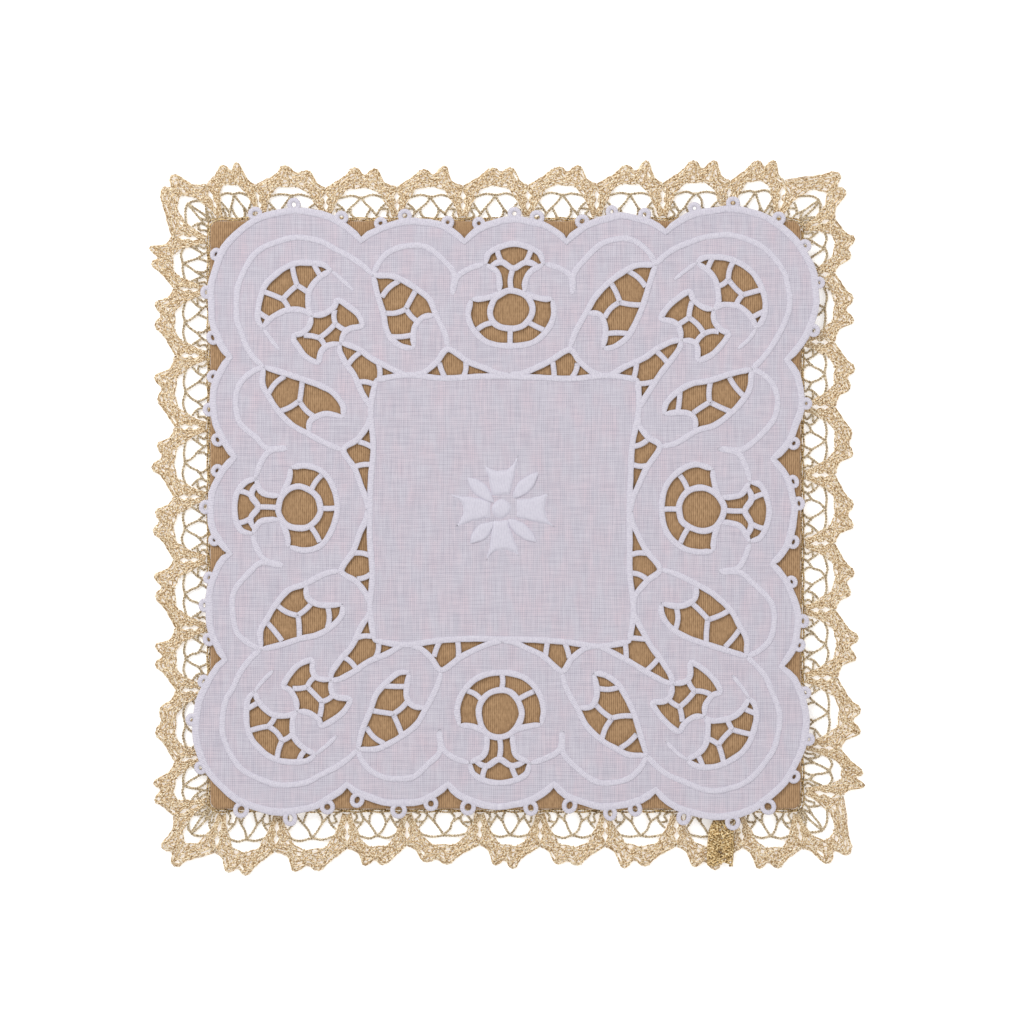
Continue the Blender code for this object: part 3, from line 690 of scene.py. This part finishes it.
# Flower in the middle: a dot, four forked petals and four narrow ones, in chart units.
# forked: where the petal starts, its half width there, its notch, and its left and right tip;
# narrow: where the petal starts and ends. Both with the flower's middle as origin.
flowerSizes = {
    "centre": (-4.5, 2.3),
    "height": 0.55 * mm,
    "dot": 9.6,
    "forked": [
        (13.9, 9.2, 38.2, (-17, 43), (17, 54.3)),
        (15.5, 8.8, 44.7, (-14.8, 49.5), (18.5, 58)),
        (11.7, 7.6, 41.5, (-19.5, 48.5), (13.5, 53)),
        (11, 8.6, 38, (-17.6, 45), (15.5, 53.5)),
    ],
    "narrow": [
        ((12, 10), (36, 37)),
        ((6.9, -10.5), (36.5, -33)),
        ((-6.5, -12.5), (-31, -35)),
        ((-7, 6.5), (-34.5, 31)),
    ],
    "narrowWidth": 7.2,
    "dotRise": 1.1,
}


def petalSurface(across, along, height):
    # chart points of a grid, raised to a cushion that falls to the cloth round its rim
    rows, columns = across.shape
    points = np.stack([across.ravel(), along.ravel()], 1)
    top = lift(placed(points + flowerSizes["centre"]), chart["clothZ"] + chart["clothThick"])
    top[:, 2] += height.ravel() * flowerSizes["height"]
    uv = np.stack([along.ravel(), across.ravel()], 1) * chart["unit"]
    return top, gridFaces(rows, columns).tolist(), uv


def makeFlower(look):
    # cushions: height (1 - u^4)^0.5 (1 - (2v - 1)^6)^0.5 over each petal's width u and length v;
    # a forked petal widens from base to tips, a narrow one swells as a sine between its ends
    u, v = np.meshgrid(np.linspace(-1, 1, 17), np.linspace(0, 1, 15), indexing="xy")
    dome = np.clip(1 - u ** 4, 0, 1) ** 0.5 * np.clip(1 - (2 * v - 1) ** 6, 0, 1) ** 0.5
    parts = []
    for quarter, (base, half, notch, left, right) in enumerate(flowerSizes["forked"]):
        tipX = np.where(u < 0, -left[0], right[0])
        tipY = np.where(u < 0, left[1], right[1])
        side = u * (half + (tipX - half) * v ** 1.1)
        out = base + v * (notch + (tipY - notch) * np.abs(u) ** 2.4 - base)
        flat = np.array(turned(np.stack([side.ravel(), out.ravel()], 1).tolist(), quarter))
        parts.append(petalSurface(flat[:, 0].reshape(u.shape), flat[:, 1].reshape(u.shape), dome))
    for start, end in flowerSizes["narrow"]:
        start, end = np.array(start), np.array(end)
        ahead = (end - start) / np.linalg.norm(end - start)
        width = flowerSizes["narrowWidth"] * np.sin(np.pi * v) ** 0.8 * u
        parts.append(petalSurface(start[0] + (end - start)[0] * v + ahead[1] * width,
                                  start[1] + (end - start)[1] * v - ahead[0] * width, dome))
    turn, ring = np.meshgrid(np.linspace(0, 2 * np.pi, 21), np.linspace(0, 1, 7), indexing="xy")
    radius = flowerSizes["dot"] * (1 - ring)
    dotDome = np.sqrt(np.clip(1 - (1 - ring) ** 2, 0, 1)) * flowerSizes["dotRise"]
    parts.append(petalSurface(radius * np.cos(turn), radius * np.sin(turn), dotDome))
    points, faces, uv = joined(parts)
    putPiece("flowerPetals", points, faces, look, uv)


# Lace: arches side by side round the board, one of them fanned round each corner.
# feet: where each tape meets the board along its side, in mm, and how far the lace stands
# out there, as a share of the usual; lean: how far, in degrees, the first and last foot of a side
# lean to their corners; halfArch: half an arch's usual width in mm; fanFrom: the turn between two
# feet, in radians, past which their arch fans round a corner.
laceSizes = {
    "gap": 0.3 * mm,
    "thread": 0.52 * mm,
    "legThread": 0.38 * mm,
    "footThread": 0.3 * mm,
    "loopThread": 0.32 * mm,
    "rimThread": 0.26 * mm,
    "twistPitch": 1.5 * mm,
    "middle": 0.5 * mm,
    "weave": 0.16 * mm,
    "passives": 7,
    "crossings": 26,
    "halfArch": 8.6,
    "fanFrom": 0.6,
    "feet": {
        "top": [(-72.3, 1.12), (-62, 1.03), (-45.8, 0.92), (-27.6, 0.95), (-10.8, 0.98), (5.7, 1.0),
                (23.2, 1.04), (40, 1.06), (56.3, 1.13), (68.9, 1.17)],
        "right": [(72.9, 1.0), (60.5, 0.95), (44, 0.94), (27.5, 0.96), (10.2, 0.96), (-7.2, 0.95),
                  (-24.1, 0.97), (-41.4, 1.03), (-58.9, 1.12), (-70, 1.2)],
        "bottom": [(74, 1.12), (59.6, 1.08), (43.5, 1.04), (25.3, 1.05), (8.8, 1.05), (-6.5, 1.0),
                   (-25.1, 1.02), (-40.3, 1.1), (-57.8, 1.2), (-72, 1.24)],
        "left": [(-72.4, 1.13), (-61, 1.02), (-44.5, 0.96), (-28.7, 0.98), (-11.4, 1.03), (4.6, 1.03),
                 (22.4, 0.99), (40.6, 0.99), (57.2, 1.03), (69.8, 1.1)],
    },
    "facing": {"top": 90, "right": 0, "bottom": -90, "left": 180},
    "lean": {"top": (22, 11), "right": (16, 7), "bottom": (8, 10), "left": (24, 6)},
}

# one arch's tape between its inner and outer edge, from left foot to right foot: (u, mm outwards)
tapeOuter = [
    (-1.0, 1.2), (-0.97, 2.7), (-0.90, 3.9), (-0.97, 5.0), (-0.90, 6.3), (-0.99, 8.2), (-0.60, 10.4),
    (-0.36, 12.0), (-0.26, 13.2), (-0.07, 13.3), (0.12, 11.7), (0.35, 13.1), (0.50, 13.0), (0.58, 11.4),
    (0.70, 9.4), (0.99, 8.2), (0.90, 6.3), (0.97, 5.0), (0.90, 3.9), (0.97, 2.7), (1.0, 1.2),
]
tapeInner = [
    (-0.88, 0.7), (-0.85, 1.8), (-0.80, 3.0), (-0.74, 4.2), (-0.66, 5.4), (-0.58, 6.7), (-0.46, 8.1),
    (-0.34, 8.6), (-0.24, 8.8), (-0.10, 8.95), (0.04, 8.9), (0.18, 8.85), (0.29, 8.6), (0.38, 8.3),
    (0.47, 7.7), (0.56, 6.7), (0.64, 5.4), (0.73, 4.2), (0.80, 3.0), (0.85, 1.8), (0.88, 0.7),
]
# the ground inside an arch: cross thread, two legs from its knot that fork towards the board,
# and the threads that tie the legs and the feet together
archThreads = [
    [(-0.64, 6.0), (-0.3, 6.7), (0, 6.3), (0.3, 6.7), (0.64, 6.0)],
    [(0, 6.3), (-0.14, 4.8), (-0.29, 3.0), (-0.46, 1.6), (-0.56, 0.2)],
    [(-0.29, 3.0), (-0.25, 1.6), (-0.13, 0.2)],
    [(0, 6.3), (0.13, 4.6), (0.25, 2.9), (0.44, 1.5), (0.55, 0.2)],
    [(0.25, 2.9), (0.22, 1.5), (0.12, 0.2)],
    [(-0.68, 4.4), (-0.55, 3.1), (-0.46, 1.6)],
    [(0.68, 4.4), (0.54, 3.0), (0.44, 1.5)],
    [(-0.84, 0.3), (-0.68, 1.3), (-0.74, 2.8), (-0.55, 3.1)],
    [(0.84, 0.3), (0.68, 1.4), (0.74, 2.8), (0.54, 3.0)],
]


def laceFeet():
    # each foot as its point, its direction and its reach
    outX = boardSizes["halfX"] + laceSizes["gap"]
    outY = boardSizes["halfY"] + laceSizes["gap"]
    feet = []
    for side, places in laceSizes["feet"].items():
        firstLean, lastLean = laceSizes["lean"][side]
        leans = [firstLean, firstLean / 2] + [0] * (len(places) - 4) + [-lastLean / 2, -lastLean]
        for (place, reach), lean in zip(places, leans):
            point = {"top": (place * mm, outY), "right": (outX, place * mm),
                     "bottom": (place * mm, -outY), "left": (-outX, place * mm)}[side]
            feet.append((point, math.radians(laceSizes["facing"][side] + lean), reach))
    return feet


def archPoints(left, right, u, t):
    # u from -1 at the left foot to 1 at the right, t metres outwards; corner arches fan
    (ax, ay), first, reachLeft = left
    (bx, by), last, reachRight = right
    last -= 2 * math.pi * round((last - first) / (2 * math.pi))
    share = (u + 1) / 2
    turn = first + (last - first) * share
    x, y = ax + (bx - ax) * share, ay + (by - ay) * share
    if abs(first - last) > laceSizes["fanFrom"]:
        pull = np.clip(1 - np.abs(u), 0, 1)
        x = x + (math.copysign(boardSizes["halfX"] + laceSizes["gap"], ax) - x) * pull
        y = y + (math.copysign(boardSizes["halfY"] + laceSizes["gap"], ay) - y) * pull
    t = t * (reachLeft + (reachRight - reachLeft) * share)
    return np.stack([x + t * np.cos(turn), y + t * np.sin(turn)], 1)


def alongEdge(edge, s):
    # the smooth curve through a list of points, at fractional positions s
    p = np.asarray(edge, float)
    k = np.clip(np.floor(s).astype(int), 0, len(p) - 2)
    t = (s - k)[:, None]
    return catmullRom(p[np.maximum(k - 1, 0)], p[k], p[k + 1], p[np.minimum(k + 2, len(p) - 1)], t)


def tapePath(left, right, outer, s, v, rise):
    # a line on the tape: s along it, v from 0 on its inner edge to 1 on its outer edge
    inside, outside = alongEdge(tapeInner, s), alongEdge(outer, s)
    flat = inside + (outside - inside) * v[:, None]
    return np.column_stack([archPoints(left, right, flat[:, 0], flat[:, 1] * mm), rise])


def evenSteps(outer, count):
    # positions spaced evenly along the middle of the tape
    s = np.linspace(0, len(outer) - 1, 400)
    middle = (alongEdge(tapeInner, s) + alongEdge(outer, s)) / 2 * [laceSizes["halfArch"], 1]
    length = np.concatenate([[0], np.cumsum(np.linalg.norm(np.diff(middle, axis=0), axis=1))])
    return np.interp(np.linspace(0, length[-1], count), length, s)


# an arch's outer edge by its points: the stretch with both peaks, each peak, the dip between them
archSpans = {"top": slice(6, 15), "peaks": [slice(8, 10), slice(11, 13)], "dip": 10}


def unevenArch(k):
    # this arch's own outer edge: peaks a little higher, lower or further along
    own = np.random.default_rng(100 + k)
    outer = np.array(tapeOuter)
    outer[archSpans["top"], 0] += own.uniform(-0.06, 0.08)
    for peak in archSpans["peaks"]:
        outer[peak] += own.uniform([-0.03, -0.8], [0.03, 0.5])
    outer[archSpans["dip"], 1] += own.uniform(-0.4, 0.3)
    return outer


def makeLace(look, legLook, footShadeLook):
    feet = laceFeet()
    passives, weavers, legs, loops = [], [], [], []
    thread, middle, weave = laceSizes["thread"], laceSizes["middle"], laceSizes["weave"]
    rows, crossings = laceSizes["passives"], laceSizes["crossings"]
    for k, left in enumerate(feet):
        right = feet[(k + 1) % len(feet)]
        outer = unevenArch(k)
        crossing = np.linspace(0, crossings, crossings * 2 + 1)
        s = evenSteps(outer, len(crossing))
        for row in range(rows):
            wander = 0.05 * np.sin(crossing * 1.3 + row * 2.1 + k)
            v = np.full(len(s), row / (rows - 1)) + wander
            rise = middle + weave * np.cos(np.pi * (crossing + row))
            path = tapePath(left, right, outer, s, v, rise)
            passives.append(tube(path, thread / 2, thread / 2, 4, roll=0.5))
        # one weaver goes from edge to edge, over and under the passives
        t = np.linspace(0, crossings, crossings * 7 + 1)
        v = np.abs((t / 2) % 1 * 2 - 1)
        stray = np.random.default_rng(k).normal(0, 1, crossings + 1)
        at = np.interp(t, crossing, s) + 0.03 * np.interp(t, np.arange(crossings + 1), stray)
        at = np.clip(at, 0, len(outer) - 1)
        rise = middle - weave * np.cos(np.pi * (np.floor(t) + v * (rows - 1)))
        path = tapePath(left, right, outer, at, v * 1.1 - 0.05, rise)
        weavers.append(tube(path, thread / 2, thread / 2, 4))
        legs += archLegs(left, right, k)
        loops += archLoops(left, right, outer)
    for name, parts in (("laceTape", passives), ("laceWeavers", weavers), ("laceLegs", legs),
                        ("laceLoops", loops), ("laceFooting", footing())):
        points, faces, uv = joined(parts)
        # the footing takes the darker end gold: painted shade along the board's edge
        gold = {"laceFooting": footShadeLook, "laceLegs": legLook}.get(name, look)
        piece = putPiece(name, points, faces, gold, uv)
        print(name, len(faces), "faces")
        if name == "laceTape":
            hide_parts("lace_edging")


def twisted(flat, rise, thread):
    # two threads turning round each other along a line
    gap = np.concatenate([[0], np.cumsum(np.linalg.norm(np.diff(flat, axis=0), axis=1))])
    tangent = np.gradient(flat, axis=0)
    side = np.stack([-tangent[:, 1], tangent[:, 0]], 1)
    side /= np.maximum(np.linalg.norm(side, axis=1, keepdims=True), 1e-12)
    made = []
    for phase in (0, math.pi):
        turn = gap / laceSizes["twistPitch"] * 2 * math.pi + phase
        line = flat + side * (0.55 * thread * np.cos(turn))[:, None]
        path = np.column_stack([line, rise + 0.5 * thread * np.sin(turn)])
        made.append(tube(path, thread / 2, thread / 2, 4))
    return made


def archLegs(left, right, k):
    made = []
    own = np.random.default_rng(500 + k)
    for line in archThreads:
        shaped = np.array(line) + own.uniform(-0.05, 0.05, (len(line), 2)) * [1, 4]
        shaped[0] = line[0]
        shaped[-1] = line[-1]
        path = smoothPath(shaped * [laceSizes["halfArch"], 1], 0.4)
        flat = archPoints(left, right, path[:, 0] / laceSizes["halfArch"], path[:, 1] * mm)
        made += twisted(flat, laceSizes["middle"], laceSizes["legThread"])
    return made


def archLoops(left, right, outer):
    # loops standing on the two peaks of an arch, and two threads round its outer edge
    made = []
    for span in archSpans["peaks"]:
        peak = outer[span].mean(0)
        turn = np.linspace(0, 2 * np.pi, 13)[:-1]
        u = peak[0] + 0.09 * np.cos(turn)
        t = peak[1] - 0.15 + 0.7 * np.sin(turn)
        flat = archPoints(left, right, u, t * mm)
        path = np.column_stack([flat, np.full(len(turn), laceSizes["middle"])])
        made.append(tube(path, laceSizes["loopThread"] / 2, laceSizes["loopThread"] / 2, 5, True))
    for beyond in (0.25, 0.55):
        s = np.linspace(5, 15, 40)
        edge = alongEdge(outer, s) + [0, beyond]
        edge[:, 1] += 0.12 * np.sin(s * 9)
        flat = archPoints(left, right, edge[:, 0], edge[:, 1] * mm)
        path = np.column_stack([flat, np.full(len(s), laceSizes["middle"])])
        made.append(tube(path, laceSizes["rimThread"] / 2, laceSizes["rimThread"] / 2, 4))
    return made


def footing():
    # two rows of twisted thread sewn along the board's side, swaying a little
    made = []
    for reach in (0.0, 0.5 * mm):
        outX = boardSizes["halfX"] + laceSizes["gap"] + reach
        outY = boardSizes["halfY"] + laceSizes["gap"] + reach
        bend = boardSizes["corner"]
        points = []
        for quarter, (sx, sy) in enumerate(((1, 1), (-1, 1), (-1, -1), (1, -1))):
            centre = (sx * (outX - bend), sy * (outY - bend))
            points += arc(centre, bend, 90 * quarter, 90 * quarter + 90, 3)
        points = np.array(points + points[:1])
        ends = np.concatenate([[0], np.cumsum(np.linalg.norm(np.diff(points, axis=0), axis=1))])
        at = np.arange(0, ends[-1], 0.6 * mm)
        flat = np.stack([np.interp(at, ends, points[:, k]) for k in range(2)], 1)
        flat += np.stack([np.sin(at * 900), np.cos(at * 1100)], 1) * 0.12 * mm
        made += twisted(flat, laceSizes["middle"], laceSizes["footThread"])
    return made


# the arch it covers, its threads, how far out in mm they start and end, and their heights
lapSizes = {
    "arch": 21,
    "lines": 26,
    "foot": 1.6,
    "peak": (11.5, 13.6),
    "low": 1.35 * mm,
    "high": 1.95 * mm,
}


def makeLap(look):
    # the lace's free end over the join: a dense tangle of threads from the foot to the peaks
    feet = laceFeet()
    left, right = feet[lapSizes["arch"]], feet[lapSizes["arch"] + 1]
    own = np.random.default_rng(12)
    parts = []
    for line in range(lapSizes["lines"]):
        t = np.linspace(lapSizes["foot"], own.uniform(*lapSizes["peak"]), 30)
        spread = np.interp(t, [1.6, 5, 9, 13], [0.18, 0.36, 0.38, 0.36])
        phase = own.uniform(0, 6.3)
        sway = own.uniform(-1, 1) + 0.55 * np.sin(t * own.uniform(0.8, 2.2) + phase)
        u = -0.36 + spread * np.clip(sway, -1, 1) + 0.01 * (t - 6)
        rise = own.uniform(lapSizes["low"], lapSizes["high"]) + 0.12 * mm * np.sin(t * 3 + phase)
        flat = archPoints(left, right, u, t * mm)
        half = laceSizes["thread"] / 2
        parts.append(tube(np.column_stack([flat, rise]), half, half, 4))
    points, faces, uv = joined(parts)
    piece = putPiece("laceEnd", points, faces, look, uv)
    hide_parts("lace_lap")


# camera straight above, its picture 0.26 m wide at the height of the embroidered face
studio = {
    "distance": 1.5,
    "width": 0.260,
    "centre": (1.65 * mm, 0.76 * mm),
    "faceZ": 3.5 * mm,
    "world": 0.60,
    "floorHalf": 2,
    "floorZ": -0.2 * mm,
    "floorGlow": 0.35,
}
# each lamp as its name, place, width in metres and power in watts
lamps = [("keyLight", (-0.5, 0.6, 0.9), 0.5, 6.4), ("fillLight", (0.7, -0.3, 0.8), 0.7, 2.1)]


def makeStudio():
    mesh = bpy.data.meshes.new("floor")
    reach, low = studio["floorHalf"], studio["floorZ"]
    corners = [(-reach, -reach, low), (reach, -reach, low), (reach, reach, low), (-reach, reach, low)]
    mesh.from_pydata(corners, [], [(0, 1, 2, 3)])
    floorPaint = Paint("paleFloor", 0.9)
    floorPaint.shader.inputs["Emission Color"].default_value = (1, 1, 1, 1)
    floorPaint.shader.inputs["Emission Strength"].default_value = studio["floorGlow"]
    mesh.materials.append(floorPaint.finish((1.0, 1.0, 1.0, 1.0)))
    floor = bpy.data.objects.new("floor", mesh)
    bpy.context.scene.collection.objects.link(floor)
    world = bpy.data.worlds.new("softRoom")
    world.use_nodes = True
    world.node_tree.nodes["Background"].inputs["Color"].default_value = (1, 1, 1, 1)
    world.node_tree.nodes["Background"].inputs["Strength"].default_value = studio["world"]
    bpy.context.scene.world = world
    for name, place, size, power in lamps:
        lamp = bpy.data.lights.new(name, "AREA")
        lamp.size = size
        lamp.energy = power
        light = bpy.data.objects.new(name, lamp)
        light.location = place
        tilt = math.atan2(math.hypot(place[0], place[1]), place[2])
        light.rotation_euler = (tilt, 0, math.atan2(place[0], -place[1]))
        bpy.context.scene.collection.objects.link(light)
    camera = bpy.data.objects.new("camera", bpy.data.cameras.new("camera"))
    camera.data.lens = camera.data.sensor_width * studio["distance"] / studio["width"]
    camera.location = (*studio["centre"], studio["distance"] + studio["faceZ"])
    bpy.context.scene.collection.objects.link(camera)
    bpy.context.scene.camera = camera
    bpy.context.scene.view_settings.view_transform = "Standard"


outline = clothOutline()
makeBoard(boardPaint())
print("board made")
white = cordPaint()
makeLinen(linenPaint(), outline)
makeCords(white, outline)
makeEdgeLoops(white, outline)
makeFlower(petalPaint())
print("cloth made")
# darker gold with painted shade, for the lace's end and its footing
shadedGoldEnd = goldPaint("shadedGoldEnd")
makeLace(goldPaint("goldThread"), goldPaint("goldLeg"), shadedGoldEnd)
makeLap(shadedGoldEnd)
print("lace made")
makeStudio()
